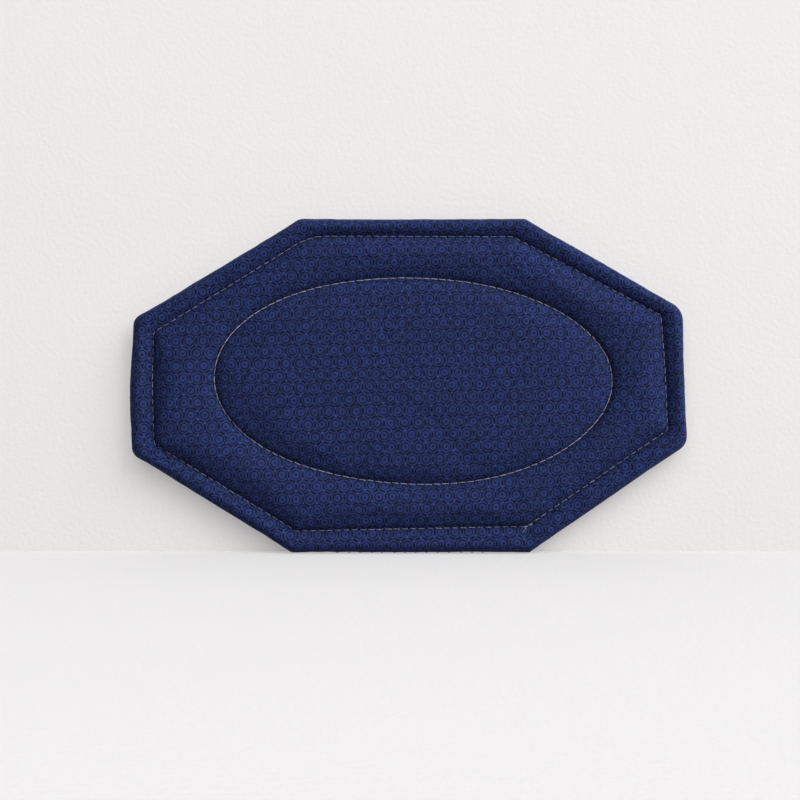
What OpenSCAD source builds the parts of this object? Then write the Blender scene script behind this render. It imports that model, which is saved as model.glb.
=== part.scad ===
// Octagonal wall punch pad: a quilted cloth cover over wadding and foam, turned inside out
// through an edge seam and topstitched. Five patches of hook-and-loop tape hold it to a wall.
// X runs along the pad, Z is up, and the wall is the plane Y = 0. The pad faces -Y.

/* [Outline] */
// Length of the pad, end to end
pad_w = 300; // [250:1:380]
// Height of the pad
pad_h = 181; // [150:1:230]
// Length of the flat edges at the top and the bottom
long_flat = 126; // [100:1:150]
// Length of the flat edges at the two ends
end_flat = 74; // [55:1:90]
// Radius of the sewn corners
corner_r = 4; // [2:0.5:6]
// 1 keeps the few millimetres by which hand cutting moved each corner, 0 makes the octagon even
hand_cut = 1; // [0:1]

/* [Quilting] */
// Distance from the edge to the perimeter topstitch
stitch_margin = 10.5; // [10:0.5:14]
// Distance from the oval topstitch to each end of the pad
oval_end_gap = 42; // [38:1:55]
// Distance from the oval topstitch to the top and bottom edges
oval_side_gap = 34.5; // [32:0.5:42]
// How far the oval sits to the right of the middle
oval_shift_x = 1.4; // [-2:0.1:2]
// How far the oval sits above the middle
oval_shift_z = 2.7; // [-3:0.1:3]
// Width of a line of topstitching
thread_w = 0.5; // [0.3:0.1:0.8]
// How far a thread stands up from the cloth it lies on
thread_rise = 0.4; // [0.2:0.1:0.5]

/* [Layers] */
// Thickness of the cover cloth
cover_t = 0.6; // [0.4:0.1:1]
// Thickness of the foam slab
foam_t = 8; // [5:0.5:12]
// Thickness of the wadding at the crown of a panel
wadding_t = 4.5; // [3:0.5:7]
// Thickness of the wadding where a stitch line pinches it
pinched_t = 0.8; // [0.5:0.1:1.5]

/* [Hook-and-loop] */
// Width of the tape
tape_w = 16; // [12:1:18]
// Length of the centre patch
centre_tape_l = 100; // [60:5:120]
// Length of each of the four patches along the diagonals
corner_tape_l = 50; // [30:5:55]
// Radius of the cut corners of a patch
tape_corner_r = 2; // [1:0.5:4]
// Width of the plain selvedge round a patch
selvedge_w = 2.5; // [2:0.5:3]
// Thickness of the loop tape's woven base
loop_base_t = 0.5; // [0.4:0.1:0.8]
// Height of the loop pile
loop_pile_t = 0.7; // [0.5:0.1:1]
// Thickness of the hook tape's woven base
hook_base_t = 0.6; // [0.4:0.1:0.8]
// Height of the hooks
hook_pile_t = 0.9; // [0.6:0.1:1.2]
// Thickness of the adhesive film on the wall
adhesive_t = 0.5; // [0.3:0.1:1]
// Gap kept between the hooks and the loops
mesh_gap = 0.3; // [0.2:0.1:0.5]

/* [Closing seam] */
// Length of the turning gap that is closed by hand at the bottom edge
closing_l = 84; // [60:2:90]
// Distance from one slip stitch to the next
closing_pitch = 6; // [4:0.5:10]

/* [Hidden] */
PATCHES = ["centre", "upper_left", "upper_right", "lower_left", "lower_right"];

cloth_navy = [0.18, 0.235, 0.42];
plain_navy = [0.09, 0.11, 0.22];
thread_grey = [0.62, 0.60, 0.58];
wadding_white = [0.93, 0.93, 0.9];
foam_grey = [0.35, 0.36, 0.38];
tape_black = [0.06, 0.06, 0.07];
film_clear = [0.85, 0.85, 0.82];

// Distances from the wall, from the adhesive outwards
hook_top = adhesive_t + hook_base_t + hook_pile_t;
loop_bottom = hook_top + mesh_gap;
loop_seat = loop_bottom + loop_pile_t;
back_face = loop_seat + loop_base_t;
foam_bottom = back_face + cover_t;
foam_top = foam_bottom + foam_t;
crown_face = foam_top + wadding_t + cover_t;
valley_face = foam_top + pinched_t + cover_t;
// The border panel swells a little less than the two inner ones
border_dip = 0.8;
border_face = crown_face - border_dip;
// The edge seam runs round the middle of the edge, a little nearer to the wall
seam_drop = 0.6;
edge_seam_face = (back_face + border_face) / 2 - seam_drop;

// Widths of the rolled edges at the front and at the back, and the steps round each of them
front_roll_w = 5.5;
back_roll_w = 6;
roll_steps = 3;
// Half of the flat floor that a stitch line presses into the quilting
valley_half_w = 0.6;
// Where the panels have risen to half and to nearly all of their height beside a stitch line
half_rise_w = 2;
full_rise_w = 5;
half_rise = 0.5;
full_rise = 0.88;
// Play between layers that rest on each other, and round the foam
layer_gap = 0.02;
foam_gap = 0.2;
// The wadding leaves the cover one step into the rolled edge and stops short of it at the foam
wadding_last_roll = 2;
wadding_setback = 0.5;
// Hidden seam thread's distance behind the cloth
seam_thread_gap = 0.1;
// A slip stitch across the edge seam: how long it is, and how far it stands out
slip_stitch_l = 1.6;
slip_stitch_rise = 0.25;
// Rounding of the hook and loop fields and of the stitching round them
pile_corner_r = 1;

// Corners run clockwise from the top left, seen from the front; edges start at the same corner
SIGN = [[-1, 1], [1, 1], [1, 1], [1, -1], [1, -1], [-1, -1], [-1, -1], [-1, 1]];
SLIP = [[3, 0], [-1, 0], [-2.5, 4.5], [0, 5], [1.5, 0], [-1.5, 0], [0, -0.5], [0.5, -0.5]];
MARGIN_DRIFT = [-1.5, -1, 0, 0, 2, -0.5, 0.5, 0];
CORNERS = [for (k = [0:7]) even_corner(k) + hand_cut * SLIP[k]];
MARGINS = [for (d = MARGIN_DRIFT) stitch_margin + hand_cut * d];

// Points on each corner arc and on each edge between two arcs
arc_steps = 3;
edge_steps = 5;
ring_n = 8 * (arc_steps + edge_steps);

oval_centre = [oval_shift_x, oval_shift_z];
oval_a = pad_w / 2 - oval_end_gap;
oval_b = pad_h / 2 - oval_side_gap;

function even_corner(k) =
    let (on_long_flat = (k % 4) < 2)
    [SIGN[k][0] * (on_long_flat ? long_flat : pad_w) / 2,
     SIGN[k][1] * (on_long_flat ? pad_h : end_flat) / 2];

function unit(v) = v / norm(v);
function mix(a, b, t) = a * (1 - t) + b * t;
function same_inset(d) = [for (k = [0:7]) d];
function grow_list(list, d) = [for (v = list) v + d];

// Direction of edge k, its inward normal, and its distance from the middle along that normal
function edge_dir(k) = unit(CORNERS[(k + 1) % 8] - CORNERS[k % 8]);
function inward(k) = let (u = edge_dir(k)) [u[1], -u[0]];
function edge_level(k) = CORNERS[k % 8] * inward(k);

// Corner k after each edge has moved inwards by its own inset
function inset_corner(k, insets) =
    let (i = (k + 7) % 8, m = inward(i), n = inward(k),
         p = edge_level(i) + insets[i], q = edge_level(k) + insets[k],
         det = m[0] * n[1] - m[1] * n[0])
    [(p * n[1] - q * m[1]) / det, (m[0] * q - n[0] * p) / det];

// Arc that rounds corner k: the outward normal swings from one edge's to the next
function corner_arc(k, insets, r) =
    let (i = (k + 7) % 8, m = inward(i), n = inward(k), turn = acos(m * n),
         centre = inset_corner(k, insets) + (m + n) * r / (1 + m * n),
         start = atan2(-m[1], -m[0]))
    [for (j = [0:arc_steps])
        let (a = start - turn * j / arc_steps) centre + r * [cos(a), sin(a)]];

// The octagon moved inwards, as one ring of ring_n points with rounded corners
function octagon_ring(insets, r = corner_r) =
    let (arcs = [for (k = [0:7]) corner_arc(k, insets, r)])
    [for (k = [0:7]) each concat(
        arcs[k],
        [for (j = [1:edge_steps - 1])
            mix(arcs[k][arc_steps], arcs[(k + 1) % 8][0], j / edge_steps)])];

// The oval grown by a distance, with its points in line with those of the outline
OUTLINE = octagon_ring(same_inset(0));
function oval_point(p, grow) =
    let (v = p - oval_centre, a = oval_a + grow, b = oval_b + grow)
    oval_centre + v / norm([v[0] / a, v[1] / b]);
function oval_ring(grow) = [for (p = OUTLINE) oval_point(p, grow)];

// A ring in space: a plan ring at a distance from the wall
function at_face(ring, face) = [for (p = ring) [p[0], -face, p[1]]];

// Height of the quilted surface at a share of the way up from a stitch line
function risen(share, top) = mix(valley_face, top, share);

// The quilted front, from the oval's middle out to the border, each [ring, face]
function quilted_rings() = [
    [oval_ring(-oval_b * 0.75), crown_face],
    [oval_ring(-oval_b * 0.35), crown_face],
    [oval_ring(-full_rise_w), risen(full_rise, crown_face)],
    [oval_ring(-half_rise_w), risen(half_rise, crown_face)],
    [oval_ring(-valley_half_w), valley_face],
    [oval_ring(valley_half_w), valley_face],
    [oval_ring(half_rise_w), risen(half_rise, crown_face)],
    [oval_ring(full_rise_w), risen(full_rise, crown_face)],
    [mid_band_ring(), crown_face],
    [octagon_ring(grow_list(MARGINS, full_rise_w)), risen(full_rise, crown_face)],
    [octagon_ring(grow_list(MARGINS, half_rise_w)), risen(half_rise, crown_face)],
    [octagon_ring(grow_list(MARGINS, valley_half_w)), valley_face],
    [octagon_ring(grow_list(MARGINS, -valley_half_w)), valley_face],
    [octagon_ring(grow_list(MARGINS, -half_rise_w)), risen(half_rise, border_face)]
];
function mid_band_ring() =
    let (inner = oval_ring(full_rise_w), outer = octagon_ring(grow_list(MARGINS, full_rise_w)))
    [for (i = [0:ring_n - 1]) mix(inner[i], outer[i], 0.5)];

// One ring of a rolled edge, at an angle from the flat of the panel (0) to the seam (90)
function roll_ring(roll_w, face, angle, skin = 0) =
    let (flat_face = face + (face > edge_seam_face ? -skin : skin))
    at_face(octagon_ring(same_inset(skin + (roll_w - skin) * (1 - sin(angle)))),
            edge_seam_face + (flat_face - edge_seam_face) * cos(angle));
function roll_rings(roll_w, face, skin) =
    [for (j = [0:roll_steps]) roll_ring(roll_w, face, 90 * j / roll_steps, skin)];

// A closed solid from rings stacked one inside the next, with a flat fan at each end.
// The first ring faces away from the wall and the last one faces it. Where the stack of rings
// turns back on itself, the quads are cut along the other diagonal, so that skins that lie on
// each other are made of the same triangles.
module ring_solid(rings, turn) {
    n = ring_n;
    last = (len(rings) - 1) * n;
    polyhedron(
        points = [for (r = rings) each r],
        faces = concat(
            [[for (i = [0:n - 1]) i]],
            [for (r = [0:len(rings) - 2]) for (i = [0:n - 1])
                let (j = (i + 1) % n, a = r * n + i, b = r * n + j)
                    each (r < turn ? [[a, a + n, b + n], [a, b + n, b]]
                                   : [[a, a + n, b], [b, a + n, b + n]])],
            [[for (i = [0:n - 1]) last + n - 1 - i]]
        )
    );
}

function reversed(list) = [for (i = [len(list) - 1:-1:0]) list[i]];

// The quilted panels as rings in space, moved towards the wall by a depth
function quilted_skin(depth) = [for (r = quilted_rings()) at_face(r[0], r[1] - depth)];

// A flat plate of a plan shape, from one distance off the wall to another
module plate(from_face, to_face) {
    translate([0, -from_face, 0])
        rotate([90, 0, 0])
            linear_extrude(to_face - from_face)
                children();
}
module ring_band(outer, inner) {
    polygon(
        concat(outer, inner),
        [[for (i = [0:ring_n - 1]) i], [for (i = [0:ring_n - 1]) ring_n + i]]
    );
}
module rounded_rect(l, w, r) {
    square([l - 2 * r, w], center = true);
    square([l, w - 2 * r], center = true);
    for (sx = [-1, 1])
        for (sz = [-1, 1])
            translate([sx * (l / 2 - r), sz * (w / 2 - r)])
                circle(r, $fn = 32);
}

// Front cover: the printed cloth, dipped along both stitch lines and rolled over the edge
module front_cover() {
    outside = concat(quilted_skin(0), roll_rings(front_roll_w, border_face, 0));
    inside = concat(quilted_skin(cover_t), roll_rings(front_roll_w, border_face, cover_t));
    color(cloth_navy)
        ring_solid(concat(outside, reversed(inside)), len(outside));
}

// Back cover: plain cloth, flat against the foam and rolled up to the edge seam
module back_cover() {
    inside = roll_rings(back_roll_w, back_face, cover_t);
    outside = roll_rings(back_roll_w, back_face, 0);
    color(plain_navy)
        ring_solid(concat(inside, reversed(outside)), len(inside));
}

// Wadding: fills the panels under the front cover and turns down over the foam's rim
module front_wadding() {
    skin = cover_t + layer_gap;
    rolls = roll_rings(front_roll_w, border_face, skin);
    rim = skin + (front_roll_w - skin) * (1 - sin(90 * wadding_last_roll / roll_steps));
    rings = concat(
        quilted_skin(skin),
        [for (j = [0:wadding_last_roll - 1]) rolls[j]],
        [at_face(octagon_ring(same_inset(rim + wadding_setback)), foam_top + layer_gap)]
    );
    color(wadding_white)
        ring_solid(rings, len(rings));
}

// Foam core: one slab, cut short of the rolled edge all round
module foam_core() {
    color(foam_grey)
        plate(foam_bottom, foam_top)
            polygon(octagon_ring(same_inset(back_roll_w + foam_gap)));
}

// Topstitching: a line of thread on the cloth, at the front in the valley and at the back
module perimeter_line() {
    ring_band(octagon_ring(grow_list(MARGINS, -thread_w / 2)),
              octagon_ring(grow_list(MARGINS, thread_w / 2)));
}
module oval_line() {
    ring_band(oval_ring(thread_w / 2), oval_ring(-thread_w / 2));
}
module perimeter_needle_thread() {
    color(thread_grey)
        plate(valley_face, valley_face + thread_rise) perimeter_line();
}
module perimeter_bobbin_thread() {
    color(thread_grey)
        plate(back_face - thread_rise, back_face) perimeter_line();
}
module oval_needle_thread() {
    color(thread_grey)
        plate(valley_face, valley_face + thread_rise) oval_line();
}
module oval_bobbin_thread() {
    color(thread_grey)
        plate(back_face - thread_rise, back_face) oval_line();
}

// Edge seam: the hidden line of thread that joins the two covers all round
module edge_seam_thread() {
    near = cover_t + seam_thread_gap;
    color(thread_grey)
        plate(edge_seam_face - thread_rise / 2, edge_seam_face + thread_rise / 2)
            ring_band(octagon_ring(same_inset(near)), octagon_ring(same_inset(near + thread_w)));
}

// Closing stitches: slip stitches across the edge seam, under the bottom edge
module closing_stitches() {
    count = floor(closing_l / closing_pitch);
    color(thread_grey)
        for (i = [0:count - 1])
            translate([(i - (count - 1) / 2) * closing_pitch, -edge_seam_face,
                       -pad_h / 2 - slip_stitch_rise / 2])
                cube([thread_w, slip_stitch_l, slip_stitch_rise], center = true);
}

// Where a patch sits in plan and how far it turns: [x, z, angle]. The centre patch is at the
// origin. The others lie along the diagonals, half-way between the oval and the topstitch.
function patch_place(p) =
    p == "centre" ? [0, 0, 0] :
    let (sx = p == "upper_left" || p == "lower_left" ? -1 : 1,
         sz = p == "upper_left" || p == "upper_right" ? 1 : -1,
         slope = atan2(pad_h - end_flat, pad_w - long_flat),
         n = [sx * sin(slope), sz * cos(slope)],
         stitch_level = (pad_w * sin(slope) + end_flat * cos(slope)) / 2 - stitch_margin,
         reach = norm([oval_a * n[0], oval_b * n[1]]),
         tangent = oval_centre + [oval_a * oval_a * n[0], oval_b * oval_b * n[1]] / reach,
         spot = tangent + n * (stitch_level - tangent * n) / 2)
    [spot[0], spot[1], sx * sz * slope];
function patch_l(p) = p == "centre" ? centre_tape_l : corner_tape_l;

module at_patch(p) {
    place = patch_place(p);
    translate([place[0], 0, place[1]])
        rotate([0, place[2], 0])
            children();
}

// Loop tape: a woven base with a field of soft loops facing the wall
module loop_tape(p) {
    color(tape_black)
        at_patch(p) {
            plate(loop_seat, back_face)
                rounded_rect(patch_l(p), tape_w, tape_corner_r);
            plate(loop_bottom, loop_seat)
                rounded_rect(patch_l(p) - 2 * selvedge_w, tape_w - 2 * selvedge_w, pile_corner_r);
        }
}

// Stitching that holds a loop tape: one line of thread along the middle of its selvedge
module loop_tape_stitching(p) {
    edge = (selvedge_w - thread_w) / 2;
    l = patch_l(p) - 2 * edge;
    w = tape_w - 2 * edge;
    color(thread_grey)
        at_patch(p)
            plate(loop_seat - thread_rise, loop_seat)
                difference() {
                    rounded_rect(l, w, pile_corner_r);
                    rounded_rect(l - 2 * thread_w, w - 2 * thread_w, pile_corner_r - thread_w);
                }
}

// Hook tape: a woven base with a field of stiff hooks facing the pad
module hook_tape(p) {
    color(tape_black)
        at_patch(p) {
            plate(adhesive_t, adhesive_t + hook_base_t)
                rounded_rect(patch_l(p), tape_w, tape_corner_r);
            plate(adhesive_t + hook_base_t, hook_top)
                rounded_rect(patch_l(p) - 2 * selvedge_w, tape_w - 2 * selvedge_w, pile_corner_r);
        }
}

// Adhesive film: holds a hook tape to the wall
module adhesive(p) {
    color(film_clear)
        at_patch(p)
            plate(0, adhesive_t)
                rounded_rect(patch_l(p), tape_w, tape_corner_r);
}

front_cover();
back_cover();
front_wadding();
foam_core();
perimeter_needle_thread();
perimeter_bobbin_thread();
oval_needle_thread();
oval_bobbin_thread();
edge_seam_thread();
closing_stitches();
for (p = PATCHES) loop_tape(p);
for (p = PATCHES)
    loop_tape_stitching(p);
for (p = PATCHES) hook_tape(p);
for (p = PATCHES) adhesive(p);
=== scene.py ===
import math

import bpy
import numpy as np
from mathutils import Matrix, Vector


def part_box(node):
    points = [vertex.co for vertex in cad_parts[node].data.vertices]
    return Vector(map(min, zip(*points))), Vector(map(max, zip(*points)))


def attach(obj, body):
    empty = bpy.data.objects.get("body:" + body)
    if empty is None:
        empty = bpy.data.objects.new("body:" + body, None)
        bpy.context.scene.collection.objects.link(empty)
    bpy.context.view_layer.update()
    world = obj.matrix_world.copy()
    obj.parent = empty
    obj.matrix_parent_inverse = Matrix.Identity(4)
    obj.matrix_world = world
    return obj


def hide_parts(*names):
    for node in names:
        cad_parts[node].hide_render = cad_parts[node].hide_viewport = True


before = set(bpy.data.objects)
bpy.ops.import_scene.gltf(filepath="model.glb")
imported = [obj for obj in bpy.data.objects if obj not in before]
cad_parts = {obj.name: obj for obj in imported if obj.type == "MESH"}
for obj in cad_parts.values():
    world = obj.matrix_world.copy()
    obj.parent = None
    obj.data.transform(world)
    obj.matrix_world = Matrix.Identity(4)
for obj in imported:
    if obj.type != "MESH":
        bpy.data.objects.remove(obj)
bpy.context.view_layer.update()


# Camera. It looks straight at the wall from a low stand, level with the pad, so upright
# lines stay upright and the floor is seen at a shallow slant.
VIEW_WIDTH = 0.434
CAMERA_DISTANCE = 0.78
CAMERA_LEFT = 0.0057
CAMERA_DROP = 0.0078

pad_low, pad_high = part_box("front_cover")
seam_y = pad_high.y
pad_middle = (pad_low + pad_high) / 2
camera_data = bpy.data.cameras.new("camera")
camera_data.sensor_width = 36
camera_data.lens = camera_data.sensor_width * (CAMERA_DISTANCE + seam_y) / VIEW_WIDTH
camera = bpy.data.objects.new("camera", camera_data)
bpy.context.scene.collection.objects.link(camera)
camera.location = (pad_middle.x - CAMERA_LEFT, -CAMERA_DISTANCE, pad_middle.z - CAMERA_DROP)
camera.rotation_euler = (math.radians(90), 0, 0)
bpy.context.scene.camera = camera


# Front cover. One octagon of printed cotton, sewn to the back cover round the edge, turned
# right side out and stitched down through the wadding along the border and round the oval.
LONG_FLAT = 0.126
END_FLAT = 0.074
# Hand cutting moved each corner a little; clockwise from the top left, along and up
CORNER_SLIP = np.array([[3, 0], [-1, 0], [-2.5, 4.5], [0, 5],
                        [1.5, 0], [-1.5, 0], [0, -0.5], [0.5, -0.5]]) / 1000
CORNER_RADIUS = np.array([7, 5, 11, 9, 2, 3, 6.5, 6]) / 1000
# Width of the border outside the topstitch, clockwise from the top edge
BORDER = np.array([9, 9.5, 10.5, 10.5, 12.5, 10, 11, 10.5]) / 1000
# The sewer turned most corners early or late, and swung widely round the first one
STITCH_SLIP = np.array([[0.3, -0.8], [-3.4, -1.1], [-2.1, 1.4], [-0.8, 2.6],
                        [-1.5, 2], [3.9, -0.5], [1.2, 0.7], [0.3, -2]]) / 1000
STITCH_CORNER_RADIUS = np.array([33, 4, 1.5, 1.5, 2, 2, 3, 3]) / 1000
# A side bows out by a rounded bump: how far, the height of its middle and its half length.
# The left edge was cut with one; on the right only the stitch line has one
LEFT_BOW = (-0.0026, -0.004, 0.033)
STITCH_BOW = (0.0014, 0.007, 0.024)
OVAL_CENTRE = np.array([0.0014, 0.0027])
OVAL_HALF = np.array([0.108, 0.056])
# How far the hand-guided line strays outside the true oval, every 30 degrees round from the right
OVAL_DRIFT = np.array([-0.7, -1.1, -1, -0.7, 1, 1.3, -0.7, -1, -0.9, -0.1, 1, -0.2]) / 1000
FRONT_ROLL = 0.0055
AROUND = 400
ARC_STEPS = 6
CROWN_Y = pad_low.y - 0.0005
VALLEY_DEPTH = 0.0046
BORDER_DIP = 0.0008
SEAM_TUCK = 0.0004
PANEL_PUFF = 0.0056
BORDER_PUFF = 0.0045
# Beside a stitch line the cloth rises by two terms: a sharp pinch and a slow swell
PINCH = 0.45
PINCH_LENGTH = 0.0013
SWELL_POWER = 1.3
# The edge tucks in only over the last few degrees of its roll
TUCK_POWER = 12
CLOTH_T = 0.00055

half_w = (pad_high.x - pad_low.x) / 2
half_h = (pad_high.z - pad_low.z) / 2
side = np.array([[-1, 1], [1, 1], [1, 1], [1, -1], [1, -1], [-1, -1], [-1, -1], [-1, 1]])
reach = np.array([[LONG_FLAT / 2, half_h], [half_w, END_FLAT / 2]])[[0, 0, 1, 1, 0, 0, 1, 1]]
CORNERS = side * reach + CORNER_SLIP


def inward_normals(corner):
    """Unit normals of a closed shape's straight edges; edge k runs on from corner k."""
    along = np.roll(corner, -1, 0) - corner
    along /= np.linalg.norm(along, axis=1)[:, None]
    return np.stack([along[:, 1], -along[:, 0]], 1)


def inset_corners(insets):
    """Corners of the octagon after edge k has moved inwards by insets[k]: each is the point
    where two neighbouring edge lines cross, from the two lines' normals and levels."""
    normal = inward_normals(CORNERS)
    level = (CORNERS * normal).sum(1) + insets
    before, level_before = np.roll(normal, 1, 0), np.roll(level, 1)
    cross = before[:, 0] * normal[:, 1] - before[:, 1] * normal[:, 0]
    x = (level_before * normal[:, 1] - level * before[:, 1]) / cross
    z = (before[:, 0] * level - normal[:, 0] * level_before) / cross
    return np.stack([x, z], 1)


def bow_out(ring, bow):
    """Moves one side of a ring across by a bump exp(-t^2) high, t being the height over the
    bump's half length. The move fades with the square of the way in to the oval's tip."""
    far, middle, half = bow
    share = np.clip((np.sign(far) * ring[:, 0] - OVAL_HALF[0]) / (half_w - OVAL_HALF[0]), 0, 1)
    ring[:, 0] += far * share ** 2 * np.exp(-((ring[:, 1] - middle) / half) ** 2)


def octagon_ring(insets, radius, around=AROUND, slip=0):
    """Closed ring of points on the inset octagon, whose corners may slip. Each corner is an arc
    whose outward normal swings from one edge's to the next; each edge between two arcs is
    divided evenly."""
    corner = inset_corners(insets) + slip
    normal = inward_normals(corner)
    before = np.roll(normal, 1, 0)
    cosine = (before * normal).sum(1)
    centre = corner + (before + normal) * (radius / (1 + cosine))[:, None]
    start = np.arctan2(-before[:, 1], -before[:, 0])
    swing = start[:, None] - np.arccos(cosine)[:, None] * np.linspace(0, 1, ARC_STEPS + 1)
    arc = centre[:, None] + radius[:, None, None] * np.stack([np.cos(swing), np.sin(swing)], -1)
    length = np.linalg.norm(np.roll(CORNERS, -1, 0) - CORNERS, axis=1)
    marks = np.round(np.cumsum(length) / length.sum() * (around - 8 * ARC_STEPS)).astype(int)
    counts = np.diff(marks, prepend=0)
    parts = []
    for k in range(8):
        share = np.arange(1, counts[k])[:, None] / counts[k]
        parts += [arc[k], arc[k, -1] * (1 - share) + arc[(k + 1) % 8, 0] * share]
    ring = np.concatenate(parts)
    bow_out(ring, LEFT_BOW)
    # The list starts at the top left corner of the square weave of the middle panel
    return np.roll(ring, around // 8 - ARC_STEPS - counts[0] // 2, 0)


def stitch_ring(outside=0, around=AROUND):
    """The border's stitch line, or a ring beside it that lies outside it by a distance."""
    ring = octagon_ring(BORDER - outside, STITCH_CORNER_RADIUS + abs(outside) / 2, around,
                        STITCH_SLIP)
    bow_out(ring, STITCH_BOW)
    return ring


def oval_drift(angle):
    """How far the oval line strays at an angle: the one smooth wave through all OVAL_DRIFT's
    values, a sum of cosines from their Fourier transform."""
    waves = np.fft.rfft(OVAL_DRIFT) / len(OVAL_DRIFT)
    waves[1:-1] *= 2
    turns = np.multiply.outer(angle, np.arange(len(waves)))
    return (waves * np.exp(1j * turns)).real.sum(-1)


def oval_point(angle, shrink_x, shrink_z):
    """Point of the oval at an angle, with each half axis shortened. The drift of the hand that
    guided the cloth lengthens the half axes, and fades with them towards the middle."""
    drift = oval_drift(angle)
    x = OVAL_CENTRE[0] + (OVAL_HALF[0] - shrink_x) * (1 + drift / OVAL_HALF[0]) * np.cos(angle)
    z = OVAL_CENTRE[1] + (OVAL_HALF[1] - shrink_z) * (1 + drift / OVAL_HALF[1]) * np.sin(angle)
    return np.stack([x, z], -1)


def ring_angles(around=AROUND):
    """Angle on the oval of each point of a ring, in line with the outline's points."""
    ring = octagon_ring(np.zeros(8), CORNER_RADIUS, around)
    across, up = ((ring - OVAL_CENTRE) / OVAL_HALF).T
    return np.unwrap(np.arctan2(up, across))


def swelling(distance, puff=PANEL_PUFF):
    """Share of its full height that a panel has reached at a distance from its stitch line: a
    sharp pinch right beside the thread, then a slower swell."""
    away = np.maximum(distance, 0)
    sharp, slow = np.exp(-away / PINCH_LENGTH), np.exp(-(away / puff) ** SWELL_POWER)
    return 1 - PINCH * sharp - (1 - PINCH) * slow


def weave_square(count, angles, depth):
    """The middle panel: a square grid whose square rings are stretched to ovals, so that it has
    no pole. Ring r of count takes the outline's angles; depth is each ring's distance inside."""
    i, j = np.meshgrid(np.arange(-count, count + 1), np.arange(-count, count + 1), indexing="ij")
    ring = np.maximum(abs(i), abs(j))
    place = np.select(
        [(j == ring) & (i < ring), (i == ring) & (j > -ring), (j == -ring) & (i > -ring)],
        [i + ring, 3 * ring - j, 5 * ring - i], 7 * ring + j)
    share = place / np.maximum(8 * ring, 1) * (8 * count)
    wrapped = np.append(angles, angles[0] - 2 * np.pi)
    angle = np.interp(share, np.arange(8 * count + 1), wrapped)
    inward = 1 - ring / count
    shrink_x = depth(inward) + (OVAL_HALF[0] - OVAL_HALF[1]) * inward ** 2 * (3 - 2 * inward)
    plan = oval_point(angle, shrink_x, depth(inward))
    rim_i = np.concatenate([np.arange(-count, count), np.full(2 * count, count),
                            np.arange(count, -count, -1), np.full(2 * count, -count)])
    rim_j = np.roll(rim_i, -2 * count)
    rim = (rim_i + count) * (2 * count + 1) + rim_j + count
    corner = (np.arange(2 * count)[:, None] * (2 * count + 1) + np.arange(2 * count)).ravel()
    across = 2 * count + 1
    quads = np.stack([corner, corner + across, corner + across + 1, corner + 1], 1)
    return plan.reshape(-1, 2), depth(inward).ravel(), rim, quads


def quilted_sheet(around, near, middles, roll_w, rolls, faces_y, skin=0, last_turn=math.pi / 2):
    """Rest shape of a cover: the middle panel's weave, then rings out to the seam. Height is the
    valley's plus the crown's share by swelling(); over the edge, a quarter ellipse in steps,
    tucked in at the seam. faces_y holds the crown's, the valley's, the border's and the seam's
    Y. A layer under the cover has a skin, its distance inside, and may stop at an earlier turn."""
    crown_y, valley_y, border_y, seam = faces_y
    angles = ring_angles(around)
    count = around // 8
    first = near[0] * count
    plan, inside, rim, quads = weave_square(
        count, angles, lambda t: first * t + (OVAL_HALF[1] - first) * t ** 2)
    y = valley_y + (crown_y - valley_y) * swelling(inside)

    oval = oval_point(angles, 0, 0)
    line = stitch_ring(0, around)
    grown = [oval_point(angles, -d, -d) for d in near]
    close = [stitch_ring(-d, around) for d in near[::-1]]
    share = np.arange(1, middles + 1)[:, None, None] / (middles + 1)
    between = list(grown[-1] * (1 - share) + close[0] * share)
    border = [stitch_ring(d, around) for d in near if d < BORDER.min() - roll_w - near[0]]
    turn = np.linspace(0, last_turn, rolls + 1)
    tuck = SEAM_TUCK * (turn / (np.pi / 2)) ** TUCK_POWER
    inset = skin + (roll_w - skin) * (1 - np.sin(turn)) + tuck
    edge = [octagon_ring(np.full(8, d), CORNER_RADIUS, around) for d in inset]
    rows = np.array(grown + between + close + [line] + border + edge)

    from_oval = np.linalg.norm(rows - oval, axis=2)
    from_line = np.linalg.norm(rows - line, axis=2)
    in_band = np.arange(len(rows))[:, None] <= len(rows) - len(edge) - len(border) - 1
    flat_y = np.where(in_band,
                      valley_y + (crown_y - valley_y) * swelling(from_oval) * swelling(from_line),
                      valley_y + (border_y - valley_y) * swelling(from_line, BORDER_PUFF))
    lean = np.concatenate([np.ones(len(rows) - len(edge)), np.cos(turn)])[:, None]
    rows_y = seam + (flat_y - seam) * lean

    # The cloth's own coordinates carry on past the outline by the length of the rolled edge
    steps = np.hypot(roll_w * np.diff(np.sin(turn)), (border_y - seam) * np.diff(np.cos(turn)))
    cloth = rows.copy()
    cloth[-rolls - 1:] = [octagon_ring(np.full(8, roll_w - run), CORNER_RADIUS, around)
                          for run in np.concatenate([[0], np.cumsum(steps)])]

    base = len(plan)
    ids = np.vstack([rim, base + np.arange(rows.shape[0] * around).reshape(-1, around)])
    after = np.roll(ids, -1, 1)
    bands = np.stack([ids[:-1], after[:-1], after[1:], ids[1:]], -1).reshape(-1, 4)
    flat = np.vstack([plan, rows.reshape(-1, 2)])
    points = np.stack([flat[:, 0], np.concatenate([y, rows_y.ravel()]), flat[:, 1]], 1)
    uv = np.vstack([plan, cloth.reshape(-1, 2)])
    line_row = len(grown) + len(between) + len(close) + 1
    return points, uv, np.vstack([quads, bands]), ids[[0, line_row, -1]]


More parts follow.
